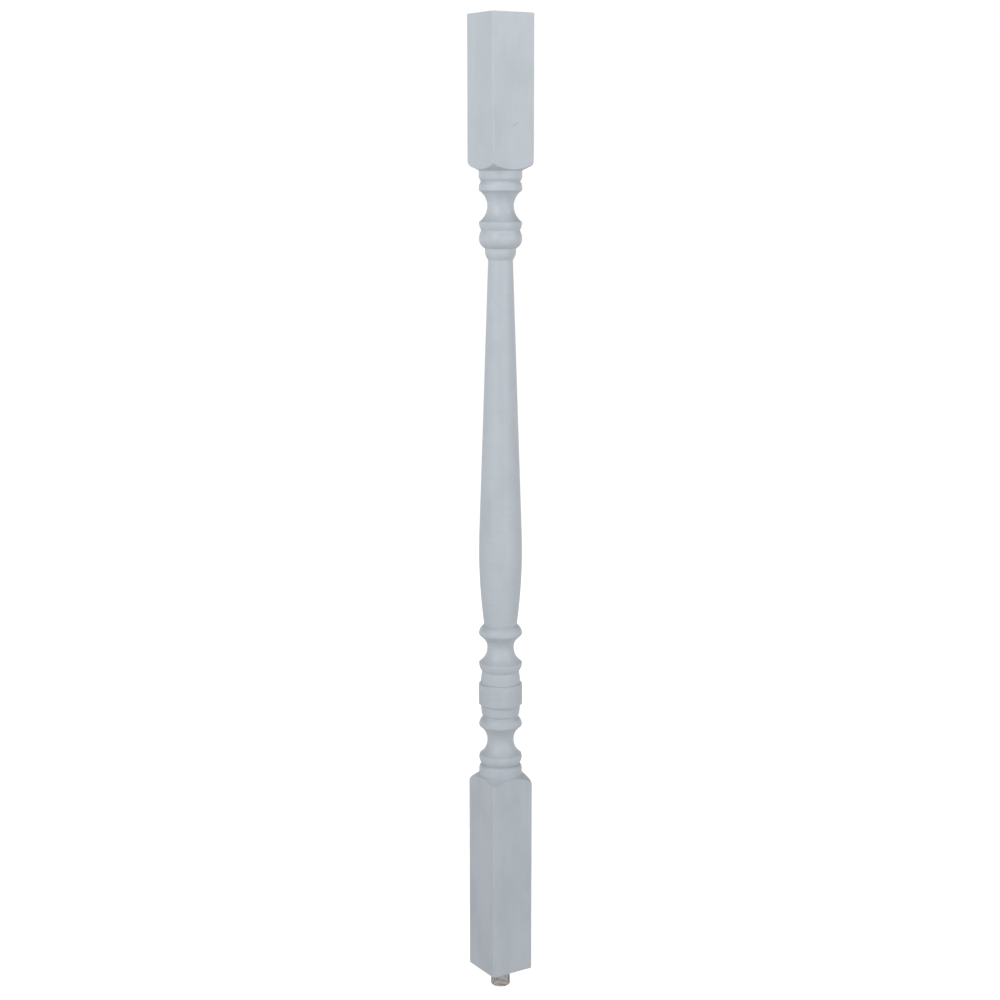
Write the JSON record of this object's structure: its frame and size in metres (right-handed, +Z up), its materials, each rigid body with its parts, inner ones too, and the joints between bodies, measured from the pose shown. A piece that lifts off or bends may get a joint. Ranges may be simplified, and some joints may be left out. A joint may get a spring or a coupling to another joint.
{
  "type": "wooden baluster",
  "caption": "Turned wooden stair baluster with a square block at each end and a round pin below, which stands between a tread and a handrail.",
  "frame": {"origin": "on the axis, at the underside of the foot block, where the baluster sits on the tread", "axes": "+Z up along the baluster's axis towards the handrail, +X and +Y square to the blocks' faces"},
  "size_m": [0.0444, 0.0444, 0.9335],
  "materials": {
    "primed_wood": "turned wood under a pale cool grey primer with a soft satin sheen, bare on the pin"
  },
  "bodies": {
    "root": {"baluster": "primed_wood"}
  },
  "joints": []
}
